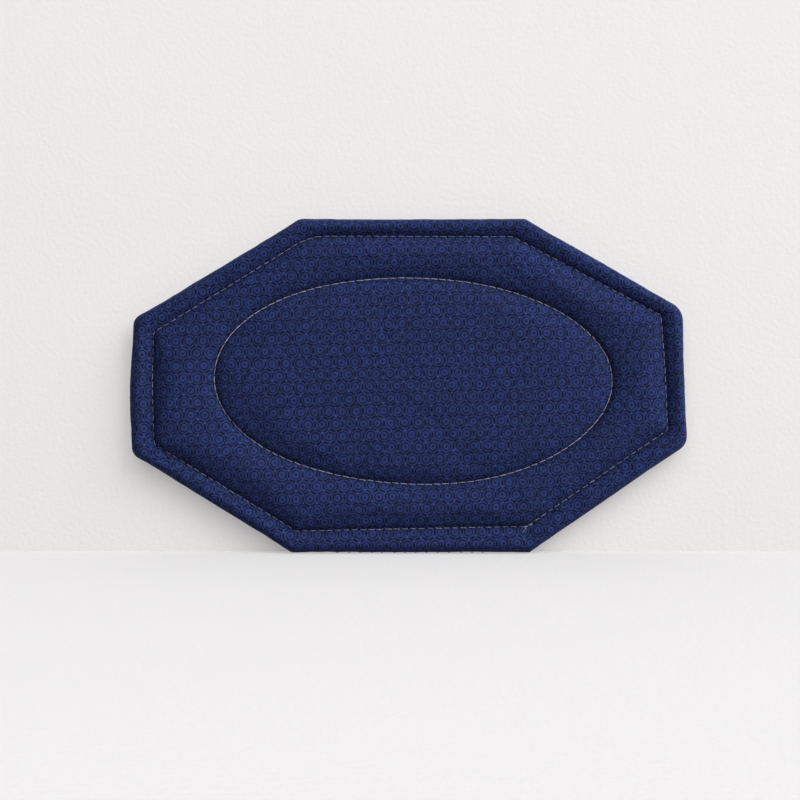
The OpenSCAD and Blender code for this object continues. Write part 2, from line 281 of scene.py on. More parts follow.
def mesh_piece(name, points, faces, corner_uv=None, map_name="cloth", caps=()):
    """A new mesh object from an array of points, an array of faces, and lists of points for
    flat caps. corner_uv gives each corner of the faces its UV, in the faces' own order."""
    mesh = bpy.data.meshes.new(name)
    mesh.from_pydata(points.tolist(), [], faces.tolist() + [list(cap) for cap in caps])
    if corner_uv is not None:
        filled = np.zeros((len(mesh.loops), 2))
        filled[:len(corner_uv)] = corner_uv
        mesh.uv_layers.new(name=map_name).data.foreach_set("uv", filled.ravel())
    mesh.polygons.foreach_set("use_smooth", np.ones(len(mesh.polygons), bool))
    piece = bpy.data.objects.new(name, mesh)
    bpy.context.scene.collection.objects.link(piece)
    return piece


def points_of(piece):
    """The mesh's points as an array of rows x, y, z."""
    flat = np.empty(len(piece.data.vertices) * 3)
    piece.data.vertices.foreach_get("co", flat)
    return flat.reshape(-1, 3)


def put_points(piece, points):
    """Moves the mesh's points to the rows of an array."""
    piece.data.vertices.foreach_set("co", points.ravel())
    piece.data.update()


def swell(piece, held, pressure, cap, inward_cap, frames=14):
    """Blows the cloth up between its held points with Blender's cloth solver. No point ends
    further out than the cap, nor further in than the wadding lets it; both ease off gently."""
    rest = points_of(piece)
    group = piece.vertex_groups.new(name="held")
    group.add([int(i) for i in held.ravel()], 1.0, "REPLACE")
    cloth = piece.modifiers.new("cloth", "CLOTH")
    cloth.settings.quality = 5
    cloth.settings.mass = 0.02
    cloth.settings.tension_stiffness = 12
    cloth.settings.compression_stiffness = 12
    cloth.settings.shear_stiffness = 4
    cloth.settings.bending_stiffness = 0.02
    cloth.settings.shrink_min = -0.003
    cloth.settings.vertex_group_mass = "held"
    cloth.settings.use_pressure = True
    cloth.settings.uniform_pressure_force = pressure
    cloth.settings.effector_weights.gravity = 0
    cloth.collision_settings.use_collision = False
    cloth.point_cache.frame_end = frames
    scene = bpy.context.scene
    for step in range(1, frames + 1):
        scene.frame_set(step)
    shape = piece.evaluated_get(bpy.context.evaluated_depsgraph_get()).data
    flat = np.empty(len(shape.vertices) * 3)
    shape.vertices.foreach_get("co", flat)
    piece.modifiers.remove(cloth)
    piece.vertex_groups.remove(group)
    scene.frame_set(1)
    move = flat.reshape(-1, 3) - rest
    limit = np.full(move.shape, cap)
    limit[move[:, 1] > 0, 1] = inward_cap
    put_points(piece, rest + limit * np.tanh(move / limit))


def refine(piece):
    """Applies one level of subdivision, which rounds the cloth between its points."""
    piece.modifiers.new("finer", "SUBSURF").levels = 1
    seen = piece.evaluated_get(bpy.context.evaluated_depsgraph_get())
    coarse = piece.data
    piece.data = bpy.data.meshes.new_from_object(seen)
    piece.modifiers.clear()
    bpy.data.meshes.remove(coarse)
    piece.data.name = piece.name


STITCH_LENGTH = 0.0045
MARKS = 8
QUARTERS = 4
NEAREST_BLOCK = 4000
# Gathers beside a stitch line: how far they reach, and the long waves' least and most stitches
RIDGE_REACH = 0.001
WAVE_REACH = 0.0035
WAVE_LEAST = 3
WAVE_MOST = 12
# A ridge's share of its height right on the stitch line
RIDGE_AT_LINE = 0.35


def stitch_marks(ring, length=STITCH_LENGTH):
    """A closed line marked off evenly, MARKS points to a stitch. The stitch is stretched a
    little so that a whole number of them goes round."""
    closed = np.vstack([ring, ring[:1]])
    run = np.concatenate([[0], np.cumsum(np.linalg.norm(np.diff(closed, axis=0), axis=1))])
    total = round(run[-1] / length) * MARKS
    at = np.arange(total) / total * run[-1]
    return np.stack([np.interp(at, run, closed[:, k]) for k in (0, 1)], 1)


def quarter_marks(count):
    """Stitch counts at every quarter stitch of a line of count stitches."""
    return np.arange(0, count, 1 / QUARTERS)


def beside_stitches(plan, lines):
    """Where each plan point lies beside the nearest line: that line's number, the stitch count
    along it, and the signed distance off it. The nearest mark is found first, and the rest of
    the way is split into a part along the line and a part across it."""
    place = np.full((len(plan), 3), np.inf)
    for number, line in enumerate(lines):
        ahead = np.roll(line, -1, 0) - np.roll(line, 1, 0)
        step = np.linalg.norm(ahead, axis=1)[:, None]
        ahead, step = ahead / step, step[:, 0] / 2
        size = (line ** 2).sum(1)
        mark = np.concatenate([np.argmin(size - 2 * block @ line.T, axis=1)
                               for block in np.array_split(
                                   plan, max(len(plan) // NEAREST_BLOCK, 1))])
        off = plan - line[mark]
        along = (off * ahead[mark]).sum(1)
        across = off[:, 0] * ahead[mark, 1] - off[:, 1] * ahead[mark, 0]
        count = (mark + along / step[mark]) / MARKS
        found = np.stack([np.full(len(plan), number), count, across], 1)
        nearer = abs(across) < abs(place[:, 2])
        place[nearer] = found[nearer]
    return place


def gather(points, place, lines, outward, ridge, wave, seed):
    """Gathers the cloth along its stitch lines. Each stitch raises a short ridge across the
    line, each needle hole pulls one down, and both die out within a stitch. Longer waves run
    beside the line, where the cloth was fed unevenly, and differ on its two sides."""
    rng = np.random.default_rng(seed)
    off = abs(place[:, 2])
    for number, line in enumerate(lines):
        count = len(line) // MARKS
        strength = rng.uniform(0.4, 1.6, count)
        cycles = np.arange(count // WAVE_MOST, count // WAVE_LEAST)
        phase = rng.uniform(0, 2 * np.pi, (2, len(cycles)))
        share = rng.uniform(0.3, 1, (2, len(cycles))) / np.sqrt(len(cycles))
        turn = quarter_marks(count)[:, None] / count * 2 * np.pi * cycles
        here = place[:, 0] == number
        at = place[here, 1] % count
        outer, inner = [
            np.interp(at, quarter_marks(count), (share[s] * np.cos(turn + phase[s])).sum(1),
                      period=count) for s in (0, 1)]
        side_wave = np.where(place[here, 2] > 0, outer, inner)
        near = off[here] / RIDGE_REACH
        far = off[here] / WAVE_REACH
        rise = -ridge * strength[np.floor(at).astype(int) % count] * np.cos(2 * np.pi * at)
        rise *= (RIDGE_AT_LINE + near) * np.exp(-near)
        rise += wave * side_wave * far * np.exp(1 - far)
        points[here, 1] += outward * rise


def mark_stitches(piece, place, lines):
    """A second UV map for the needle holes: the stitch count along the nearest line, and the
    distance off it in metres. A face that spans the line's first hole counts on past it."""
    corner = np.empty(len(piece.data.loops), int)
    piece.data.loops.foreach_get("vertex_index", corner)
    quad = place[corner].reshape(-1, 4, 3)
    total = np.array([len(line) // MARKS for line in lines])[quad[:, :1, 0].astype(int)]
    count = quad[:, :, 1] - total * np.round((quad[:, :, 1] - quad[:, :1, 1]) / total)
    uv = np.stack([count, abs(quad[:, :, 2])], -1)
    piece.data.uv_layers.new(name="stitches").data.foreach_set("uv", uv.ravel())


def stitch_down(cover, outward, ridge, wave, seed, flat_y=np.inf):
    """Gathers a cover along both stitch lines, no further out than flat_y, marks its stitches
    and thickens it inwards. Returns its points and where each lies beside the lines."""
    points = points_of(cover)
    place = beside_stitches(points[:, [0, 2]], LINES)
    gather(points, place, LINES, outward, ridge, wave, seed)
    points[:, 1] = np.minimum(points[:, 1], flat_y)
    put_points(cover, points)
    mark_stitches(cover, place, LINES)
    shell = cover.modifiers.new("cloth_thickness", "SOLIDIFY")
    shell.thickness = CLOTH_T
    shell.offset = -1
    return points, place


OVAL_POINTS = 900
# Distances from a stitch line at which rings of cloth lie beside it
NEAR = np.array([0.7, 1.5, 2.4, 3.4, 4.6, 6.0, 7.6, 9.4]) / 1000
LINES = [stitch_marks(stitch_ring()),
         stitch_marks(oval_point(-np.linspace(0, 2 * np.pi, OVAL_POINTS)[:-1], 0, 0))]
front_faces = (CROWN_Y, CROWN_Y + VALLEY_DEPTH, CROWN_Y + BORDER_DIP, seam_y)
front_points, front_uv, front_quads, front_held = quilted_sheet(
    AROUND, NEAR, middles=8, roll_w=FRONT_ROLL, rolls=10, faces_y=front_faces)
front_cover = mesh_piece("front_cover_cloth", front_points, front_quads,
                         front_uv[front_quads].reshape(-1, 2))
swell(front_cover, front_held, pressure=2.0, cap=0.0012, inward_cap=0.0002)
refine(front_cover)
front_points, front_place = stitch_down(front_cover, -1, ridge=0.00016, wave=0.00022, seed=4)


def display(red, green, blue):
    """A colour as a screen shows it, 0 to 255, turned into the linear one that nodes take."""
    value = np.array([red, green, blue]) / 255
    linear = np.where(value <= 0.04045, value / 12.92, ((value + 0.055) / 1.055) ** 2.4)
    return (*linear.tolist(), 1.0)


def add_node(tree, kind, feeds=(), **settings):
    """A new node with its settings. feeds gives its inputs in order or by name, each a value
    or another node's output to link."""
    node = tree.nodes.new("ShaderNode" + kind)
    for key, value in settings.items():
        setattr(node, key, value)
    for key, feed in (feeds.items() if isinstance(feeds, dict) else enumerate(feeds)):
        if isinstance(feed, bpy.types.NodeSocket):
            tree.links.new(feed, node.inputs[key])
        elif feed is not None:
            node.inputs[key].default_value = feed
    return node


def maths(tree, operation, *feeds):
    """The result of a sum or other operation on values."""
    return add_node(tree, "Math", feeds, operation=operation).outputs[0]


def vectors(tree, operation, *feeds):
    """The result of an operation on vectors: a value for a length, else a vector."""
    node = add_node(tree, "VectorMath", feeds, operation=operation)
    return node.outputs["Value" if operation == "LENGTH" else "Vector"]


def times(tree, vector, scale):
    """A vector or a colour multiplied by a value."""
    return add_node(tree, "VectorMath", {0: vector, "Scale": scale}, operation="SCALE").outputs[0]


def noise(tree, place, scale, detail, **more):
    """Soft noise from 0 to 1, in spots about one over the scale across."""
    feeds = {"Vector": place, "Scale": scale, "Detail": detail, **more}
    return add_node(tree, "TexNoise", feeds).outputs[0]


def spread(tree, value, low, high, to_low=0.0, to_high=1.0):
    """A value from low to high mapped smoothly to the range from to_low to to_high."""
    return add_node(tree, "MapRange", (value, low, high, to_low, to_high),
                    interpolation_type="SMOOTHSTEP").outputs[0]


def blend_colours(tree, share, one, other):
    """The first colour at a share of 0, the other at 1. Inputs 6 and 7 are the colours."""
    node = add_node(tree, "Mix", {"Factor": share, 6: one, 7: other}, data_type="RGBA")
    return node.outputs[2]


def new_group(name, inputs, outputs):
    """An empty shader node group. inputs maps each socket's name to its first value, or to None
    for a vector; every output is a plain value."""
    group = bpy.data.node_groups.new(name, "ShaderNodeTree")
    for socket, first in inputs.items():
        kind = "NodeSocketVector" if first is None else "NodeSocketFloat"
        made = group.interface.new_socket(socket, in_out="INPUT", socket_type=kind)
        if first is not None:
            made.default_value = first
    for socket in outputs:
        group.interface.new_socket(socket, in_out="OUTPUT", socket_type="NodeSocketFloat")
    inlet = group.nodes.new("NodeGroupInput").outputs
    outlet = group.nodes.new("NodeGroupOutput").inputs
    return group, inlet, outlet


def use_group(tree, group, feeds):
    """Places a group in a tree, with its own feeds, and returns its outputs."""
    return add_node(tree, "Group", feeds, node_tree=group).outputs


def new_material(name, **sockets):
    """A material with an empty tree but for its shader, whose plain sockets are set here."""
    material = bpy.data.materials.new(name)
    material.use_nodes = True
    tree = material.node_tree
    shader = tree.nodes["Principled BSDF"]
    for key, value in sockets.items():
        shader.inputs[key.replace("_", " ")].default_value = value
    return material, tree, shader


def relief(tree, shader, height, strength, distance, under=None):
    """Stands a height in a shader's normals, on top of those of an earlier relief."""
    bump = add_node(tree, "Bump", {"Strength": strength, "Distance": distance,
                                   "Height": height, "Normal": under}).outputs[0]
    tree.links.new(bump, shader.inputs["Normal"])
    return bump


# Distances in the print are shares of its pitch. Rings from the middle out: dot, disc, inner
# line, bright ring, rim line, gap, each the distance and the tone
RINGS = [(0.0, 0.02), (0.045, 0.08), (0.09, 0.52), (0.21, 0.6), (0.26, 0.35), (0.3, 0.05),
         (0.335, 0.28), (0.385, 0.62), (0.425, 0.45), (0.46, 0.2), (0.49, 0.35), (0.54, 0.75)]
RING_REACH = 0.6
# Two rims cross where the second nearest middle is this close
LENS_STARTS = 0.56
LENS_FULL = 0.53
INK_DRIFT = 0.14


def packed_circles():
    """Tone of a print of ringed circles packed like coins, 0 at its darkest lines and 1 at its
    palest gaps. Two rectangular lattices, half a step apart, hold the circles' middles. The
    distance to the nearest middle picks the ring; where two circles' rims cross lies a dark
    lens. Noise bends the lines and breaks the ink up a little, as hand-cut printing does."""
    group, inlet, outlet = new_group(
        "packed_circles", {"Vector": None, "Pitch": 0.01, "Turn": 0.0, "Stretch": 1.0,
                           "Wobble": 0.0}, ["Tone"])
    half_row = math.sqrt(3) / 2
    one_over = maths(group, "DIVIDE", 1.0, inlet["Pitch"])
    scaled = times(group, inlet["Vector"], one_over)
    turned = add_node(group, "VectorRotate", {"Vector": scaled, "Angle": inlet["Turn"]},
                      rotation_type="Z_AXIS").outputs[0]
    bend = add_node(group, "TexNoise", {"Vector": turned, "Scale": 1.7, "Detail": 2.0})
    bend = vectors(group, "SUBTRACT", bend.outputs["Color"], (0.5, 0.5, 0.5))
    bend = times(group, bend, inlet["Wobble"])
    bent = add_node(group, "SeparateXYZ", (vectors(group, "ADD", turned, bend),)).outputs
    across = bent["X"]
    up = maths(group, "DIVIDE", bent["Y"], inlet["Stretch"])

    def distances(shift):
        """To the nearest middle of one lattice, and to the next one along its row."""
        x = maths(group, "WRAP", maths(group, "ADD", across, 0.5 * shift), 0.5, -0.5)
        y = maths(group, "WRAP", maths(group, "ADD", up, half_row * shift), half_row, -half_row)
        nearest = vectors(group, "LENGTH", add_node(group, "CombineXYZ", (x, y)).outputs[0])
        other_x = maths(group, "SUBTRACT", 1.0, maths(group, "ABSOLUTE", x))
        next_one = add_node(group, "CombineXYZ", (other_x, y)).outputs[0]
        return nearest, vectors(group, "LENGTH", next_one)

    near_a, next_a = distances(0)
    near_b, next_b = distances(1)
    nearest = maths(group, "MINIMUM", near_a, near_b)
    second = maths(group, "MINIMUM", maths(group, "MAXIMUM", near_a, near_b),
                   maths(group, "MINIMUM", next_a, next_b))
    ringed = add_node(group, "ValToRGB", (maths(group, "DIVIDE", nearest, RING_REACH),))
    for place, tone in RINGS:
        stop = ringed.color_ramp.elements.new(place / RING_REACH)
        stop.color = (tone, tone, tone, 1)
    ringed.color_ramp.elements.remove(ringed.color_ramp.elements[0])
    ringed.color_ramp.elements[-1].color = (1, 1, 1, 1)
    lens = spread(group, second, LENS_STARTS, LENS_FULL)
    tone = maths(group, "MULTIPLY", ringed.outputs[0], maths(group, "SUBTRACT", 1.0, lens))
    ink = noise(group, turned, 2.6, 3.0)
    tone = maths(group, "ADD", tone, spread(group, ink, 0.3, 0.7, -INK_DRIFT, INK_DRIFT))
    group.links.new(tone, outlet["Tone"])
    return group


def plain_weave():
    """Height of a plain weave, 0 to 1. Each set of threads is a row of half-round ridges, and a
    chequer of sines says which set lies on top."""
    group, inlet, outlet = new_group("plain_weave", {"Vector": None, "Spacing": 0.0004},
                                     ["Height"])
    one_over = maths(group, "DIVIDE", math.pi, inlet["Spacing"])
    place = add_node(group, "SeparateXYZ", (times(group, inlet["Vector"], one_over),)).outputs
    warp = maths(group, "SINE", place["X"])
    weft = maths(group, "SINE", place["Y"])
    over = maths(group, "MULTIPLY_ADD", maths(group, "MULTIPLY", warp, weft), 0.5, 0.5)
    top = maths(group, "MULTIPLY", maths(group, "ABSOLUTE", warp), over)
    under = maths(group, "MULTIPLY", maths(group, "ABSOLUTE", weft),
                  maths(group, "SUBTRACT", 1.0, over))
    group.links.new(maths(group, "ADD", top, under), outlet["Height"])
    return group


HOLE_CORE = 0.0002
HOLE_RIM = 0.0006


def needle_holes():
    """Mask of the needle holes, 1 at each: the distance from the nearest whole stitch count,
    turned into metres, and the distance off the line make a small round spot."""
    group, inlet, outlet = new_group("needle_holes", {"Stitches": None, "Length": STITCH_LENGTH},
                                     ["Mask"])
    place = add_node(group, "SeparateXYZ", (inlet["Stitches"],)).outputs
    count = maths(group, "WRAP", place["X"], 0.5, -0.5)
    along = maths(group, "MULTIPLY", count, inlet["Length"])
    spot = add_node(group, "CombineXYZ", (along, place["Y"])).outputs[0]
    mask = spread(group, vectors(group, "LENGTH", spot), HOLE_RIM, HOLE_CORE)
    group.links.new(mask, outlet["Mask"])
    return group


PRINT = packed_circles()
WEAVE = plain_weave()
HOLES = needle_holes()
CIRCLE_PITCH = 0.00738
PRINT_TURN = math.radians(-1.3)
ROW_STRETCH = 1.035
PRINT_WOBBLE = 0.09
COTTON_THREAD = 0.00034
INK_DARK = display(10, 12, 32)
INK_NAVY = display(41, 55, 107)
INK_PALE = display(61, 80, 139)
# Painted shade at the needle holes, in place of hollows too small for the mesh
HOLE_SHADE = 0.45
# Painted shade in the crease along each stitch line, where little light falls
CREASE_SHADE = 0.72
CREASE_W = 0.003


def printed_cotton():
    """Matt navy cotton under a print of ringed circles. The ink's tone runs from near black
    over navy to a dusty blue, in soft patches of wear. Painted shade darkens the cloth where
    the needle went in, and in the crease on both sides of a stitch line. Weave and a faint
    crumple stand in the normals."""
    material, tree, shader = new_material(
        "printed_cotton", Roughness=0.86, Specular_IOR_Level=0.15, Sheen_Weight=0.06,
        Sheen_Roughness=0.45, Sheen_Tint=display(120, 145, 215))
    cloth = add_node(tree, "UVMap", uv_map="cloth").outputs[0]
    seams = add_node(tree, "UVMap", uv_map="stitches").outputs[0]
    place = add_node(tree, "TexCoord").outputs["Object"]
    tone = use_group(tree, PRINT, {"Vector": cloth, "Pitch": CIRCLE_PITCH, "Turn": PRINT_TURN,
                                   "Stretch": ROW_STRETCH, "Wobble": PRINT_WOBBLE})["Tone"]
    dyed = blend_colours(tree, spread(tree, tone, 0.0, 0.6), INK_DARK, INK_NAVY)
    dyed = blend_colours(tree, spread(tree, tone, 0.6, 1.0), dyed, INK_PALE)
    patch = noise(tree, place, 55.0, 4.0)
    worn = noise(tree, place, 420.0, 3.0)
    shade = maths(tree, "MULTIPLY", spread(tree, patch, 0.3, 0.7, 0.9, 1.1),
                  spread(tree, worn, 0.3, 0.7, 0.93, 1.07))
    # Painted shade at the needle holes
    holes = use_group(tree, HOLES, {"Stitches": seams})["Mask"]
    shade = maths(tree, "MULTIPLY", shade, spread(tree, holes, 0.0, 1.0, 1.0, HOLE_SHADE))
    # Painted shade in the crease on both sides of each stitch line
    crease = add_node(tree, "SeparateXYZ", (seams,)).outputs["Y"]
    shade = maths(tree, "MULTIPLY", shade,
                  spread(tree, crease, 0.0, CREASE_W, CREASE_SHADE, 1.0))
    tree.links.new(times(tree, dyed, shade), shader.inputs["Base Color"])
    rough = spread(tree, patch, 0.3, 0.7, 0.8, 0.92)
    tree.links.new(rough, shader.inputs["Roughness"])
    weave = use_group(tree, WEAVE, {"Vector": cloth, "Spacing": COTTON_THREAD})["Height"]
    crumple = relief(tree, shader, noise(tree, cloth, 330.0, 3.0), 0.6, 0.00018)
    relief(tree, shader, weave, 0.5, 0.00005, crumple)
    return material


def place_piece(piece, material, body, slot, *nodes):
    """Gives a piece its material, hangs it on the empty of the body that it rides on, and hides
    the CAD nodes that it stands for. Its slot, the finish that it has, is not used."""
    piece.data.materials.append(material)
    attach(piece, body)
    if nodes:
        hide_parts(*nodes)


place_piece(front_cover, printed_cotton(), "pad", "printed_cotton", "front_cover")


# Back cover. The same octagon in plain navy cotton. It lies flat against the foam, takes the
# loop tapes, and rolls up round the edge to the seam, where it meets the front cover.
BACK_AROUND = 240
BACK_ROLL = 0.006
BACK_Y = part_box("back_cover")[1].y
BACK_VALLEY = 0.00045
BACK_THREAD = 0.00042

back_faces = (BACK_Y, BACK_Y - BACK_VALLEY, BACK_Y, seam_y)
back_points, back_uv, back_quads, _ = quilted_sheet(
    BACK_AROUND, NEAR[::2], middles=5, roll_w=BACK_ROLL, rolls=7, faces_y=back_faces)
back_quads = back_quads[:, ::-1]
back_cover = mesh_piece("back_cover_cloth", back_points, back_quads,
                        back_uv[back_quads].reshape(-1, 2))
refine(back_cover)
back_points, back_place = stitch_down(back_cover, 1, ridge=0.0001, wave=0.00008, seed=9,
                                      flat_y=BACK_Y)


def plain_cotton():
    """Plain navy cotton: no print, a slightly slubby weave, and painted shade at needle holes."""
    material, tree, shader = new_material(
        "plain_cotton", Roughness=0.88, Specular_IOR_Level=0.2, Sheen_Weight=0.16,
        Sheen_Roughness=0.45, Sheen_Tint=display(140, 150, 200))
    cloth = add_node(tree, "UVMap", uv_map="cloth").outputs[0]
    seams = add_node(tree, "UVMap", uv_map="stitches").outputs[0]
    streak = add_node(tree, "Mapping", {"Vector": cloth, "Scale": (60.0, 900.0, 1.0)}).outputs[0]
    slub = noise(tree, streak, 1.0, 3.0)
    patch = noise(tree, cloth, 45.0, 4.0)
    dyed = blend_colours(tree, spread(tree, slub, 0.3, 0.7), display(25, 30, 60),
                         display(34, 41, 76))
    # Painted shade at the needle holes
    holes = use_group(tree, HOLES, {"Stitches": seams})["Mask"]
    shade = maths(tree, "MULTIPLY", spread(tree, patch, 0.3, 0.7, 0.88, 1.12),
                  spread(tree, holes, 0.0, 1.0, 1.0, 0.35))
    tree.links.new(times(tree, dyed, shade), shader.inputs["Base Color"])
    weave = use_group(tree, WEAVE, {"Vector": cloth, "Spacing": BACK_THREAD})["Height"]
    crumple = relief(tree, shader, noise(tree, cloth, 240.0, 3.0), 0.6, 0.0002)
    relief(tree, shader, weave, 0.6, 0.00006, crumple)
    return material


place_piece(back_cover, plain_cotton(), "pad", "plain_cotton", "back_cover")


# Wadding. A layer of loose polyester fibre under the front cover: full in the panels, pinched
# thin under both stitch lines, and turned down over the rim of the foam.
WADDING_AROUND = 160
WADDING_SKIN = 0.00125
WADDING_LEAST = 0.00005
foam_low, foam_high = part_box("foam_core")

wadding_faces = (CROWN_Y + WADDING_SKIN, CROWN_Y + VALLEY_DEPTH + WADDING_SKIN,
                 CROWN_Y + BORDER_DIP + WADDING_SKIN, seam_y)
wadding_end = math.acos((seam_y - foam_low.y) / (seam_y - wadding_faces[2]))
wadding_points, _, wadding_quads, wadding_held = quilted_sheet(
    WADDING_AROUND, NEAR[::2], middles=4, roll_w=FRONT_ROLL, rolls=4, faces_y=wadding_faces,
    skin=WADDING_SKIN, last_turn=wadding_end)
wadding_points[:, 1] = np.minimum(wadding_points[:, 1], foam_low.y - WADDING_LEAST)
wadding = mesh_piece("front_wadding_fibre", wadding_points, wadding_quads,
                     caps=[wadding_held[-1, ::-1].tolist()])


def wadding_fibre():
    """White fibre fleece: pale, soft, with streaks of fibre in the colour and the normals."""
    material, tree, shader = new_material(
        "wadding_fibre", Roughness=0.95, Specular_IOR_Level=0.15, Sheen_Weight=0.4)
    place = add_node(tree, "TexCoord").outputs["Object"]
    fibre = noise(tree, place, 700.0, 6.0, Distortion=3.0)
    colour = blend_colours(tree, fibre, display(214, 213, 206), display(244, 243, 238))
    tree.links.new(colour, shader.inputs["Base Color"])
    relief(tree, shader, fibre, 0.8, 0.0004)
    return material


place_piece(wadding, wadding_fibre(), "pad", "wadding", "front_wadding")


# Foam core. One slab of closed-cell foam, die-cut a little smaller than the covers, that
# takes the blow. Its cut edges are eased by the cutter.
FOAM_INSET = 0.0062
FOAM_EASE = 0.0007
FOAM_AROUND = 160


def stacked_rings(rings):
    """A closed solid from plan rings laid one on the next, each an array of points. Returns
    the points, the quads between neighbouring rings and the two flat caps."""
    rings = np.array(rings)
    count, around = rings.shape[:2]
    ids = np.arange(count * around).reshape(count, around)
    after = np.roll(ids, -1, 1)
    quads = np.stack([ids[:-1], ids[1:], after[1:], after[:-1]], -1).reshape(-1, 4)
    return rings.reshape(-1, 3), quads, [ids[0].tolist(), ids[-1, ::-1].tolist()]


def foam_rings():
    """Rings of the slab from the wall side out, with a quarter round at both rims."""
    turn = np.linspace(0, np.pi / 2, 4)
    inset = FOAM_INSET + FOAM_EASE * (1 - np.sin(turn))
    drop = FOAM_EASE * (1 - np.cos(turn))
    level = np.concatenate([foam_high.y - drop, foam_low.y + drop[::-1]])
    plans = [octagon_ring(np.full(8, d), CORNER_RADIUS, FOAM_AROUND)
             for d in np.concatenate([inset, inset[::-1]])]
    return [np.stack([plan[:, 0], np.full(len(plan), y), plan[:, 1]], 1)
            for plan, y in zip(plans, level)]


foam_points, foam_quads, foam_caps = stacked_rings(foam_rings())
foam = mesh_piece("foam_core_slab", foam_points, foam_quads, caps=foam_caps)


def closed_cell_foam():
    """Grey foam of small closed cells, each a shallow dimple with painted shade at its bottom."""
    material, tree, shader = new_material("closed_cell_foam", Roughness=0.8,
                                          Specular_IOR_Level=0.3)
    place = add_node(tree, "TexCoord").outputs["Object"]
    cell = add_node(tree, "TexVoronoi", {"Vector": place, "Scale": 1400.0}).outputs["Distance"]
    # Painted shade, darker towards the bottom of each dimple
    colour = blend_colours(tree, spread(tree, cell, 0.1, 0.6), display(112, 114, 120),
                           display(146, 148, 154))
    tree.links.new(colour, shader.inputs["Base Color"])
    relief(tree, shader, cell, 0.5, 0.0002)
    return material


place_piece(foam, closed_cell_foam(), "pad", "foam", "foam_core")


# Topstitching. Pale three-ply thread, one closed line round the border and one round the oval,
# straight through all the layers: needle thread at the front, bobbin thread at the back.
THREAD_R = 0.00018
STITCH_COVER = 1.0
STITCH_RINGS = 7
STITCH_LIFT = 0.00008
STITCH_DROP = 0.00024
STITCH_SLANT = 0.00011
STITCH_STRAY = 0.00005
THREAD_LAY = 0.0011
LEVEL_REACH = 0.00035
# The border line was sewn tighter than the oval's: thinner, shorter and deeper in the cloth
TIGHT = 0.6
TIGHT_COVER = 0.92


def tubes(paths, radius, up, sides=6):
    """Closed round threads along many paths at once, paths being runs × rings × 3 and radius
    runs × rings. A ring's first spoke is path × up, its second path × spoke, and its points
    are radius × (spoke cos + second sin). Each end is closed by a fan of quads. The UV is the
    length run so far and the share of a turn."""
    runs, rings = paths.shape[:2]
    ahead = np.gradient(paths, axis=1)
    ahead /= np.linalg.norm(ahead, axis=2)[..., None]
    spoke = np.cross(ahead, np.broadcast_to(up, ahead.shape))
    spoke /= np.linalg.norm(spoke, axis=2)[..., None]
    second = np.cross(ahead, spoke)
    turn = np.arange(sides)[:, None] / sides * 2 * np.pi
    around = spoke[:, :, None] * np.cos(turn) + second[:, :, None] * np.sin(turn)
    points = paths[:, :, None] + radius[..., None, None] * around
    ids = np.arange(runs * rings * sides).reshape(runs, rings, sides)
    after = np.roll(ids, -1, 2)
    walls = np.stack([ids[:, :-1], after[:, :-1], after[:, 1:], ids[:, 1:]], -1).reshape(-1, 4)
    fan = np.array([[0, 2 * m - 1, 2 * m, 2 * m + 1] for m in range(1, sides // 2)])
    ends = [ids[:, 0][:, fan[:, ::-1]].reshape(-1, 4), ids[:, -1][:, fan].reshape(-1, 4)]
    step = np.linalg.norm(np.diff(paths, axis=1), axis=2)
    run = np.concatenate([np.zeros((runs, 1)), np.cumsum(step, axis=1)], axis=1)
    share = np.arange(sides + 1) / sides
    run = np.broadcast_to(run[..., None], (runs, rings, sides))
    u = np.stack([run[:, :-1], run[:, :-1], run[:, 1:], run[:, 1:]], -1)
    v = np.broadcast_to(np.stack([share[:-1], share[1:], share[1:], share[:-1]], -1), u.shape)
    uv = np.zeros(((len(walls) + 2 * len(ends[0])) * 4, 2))
    uv[:len(walls) * 4] = np.stack([u, v], -1).reshape(-1, 2)
    return points.reshape(-1, 3), np.vstack([walls, *ends]), uv


def cloth_level(points, place, number, line):
    """The cloth's Y all along a stitch line, at every quarter stitch, from its nearby points."""
    close = (place[:, 0] == number) & (abs(place[:, 2]) < LEVEL_REACH)
    count = len(line) // MARKS
    at = place[close, 1] % count
    order = np.argsort(at)
    return np.interp(quarter_marks(count), at[order], points[close, 1][order], period=count)


def flat_level(line, y):
    """A level Y all along a stitch line, at every quarter stitch."""
    return np.full(len(line) // MARKS * QUARTERS, y)


def stitch_paths(line, level, outward, seed, cover=STITCH_COVER, lift=STITCH_LIFT):
    """Middles of separate stitches along a closed line. Each takes up the cover's share of the
    way from one needle hole to the next. Its height over the cloth is the lift, less a drop
    that grows with the fourth power of the way out. It lies a little aslant, each by its own
    share, and thins towards its ends."""
    rng = np.random.default_rng(seed)
    count = len(line) // MARKS
    out = np.linspace(-1, 1, STITCH_RINGS)
    at = np.arange(count)[:, None] + 0.5 + out * cover / 2
    marks = np.arange(len(line) + 1) / MARKS
    closed = np.vstack([line, line[:1]])
    plan = np.stack([np.interp(at, marks, closed[:, k]) for k in (0, 1)], -1)
    ahead = plan[:, -1] - plan[:, 0]
    ahead /= np.linalg.norm(ahead, axis=1)[:, None]
    across = np.stack([ahead[:, 1], -ahead[:, 0]], 1)
    slant = rng.normal(STITCH_SLANT, STITCH_STRAY, (count, 1)) * out
    slip = rng.normal(0, STITCH_STRAY, (count, 1)) + slant
    plan += across[:, None] * slip[..., None]
    height = np.interp(at, quarter_marks(count), level, period=count)
    height = height + outward * (lift - STITCH_DROP * out ** 4)
    paths = np.stack([plan[..., 0], height, plan[..., 1]], -1)
    thick = THREAD_R * rng.uniform(0.9, 1.1, (count, 1)) * (1 - 0.3 * out ** 6)
    return paths, thick


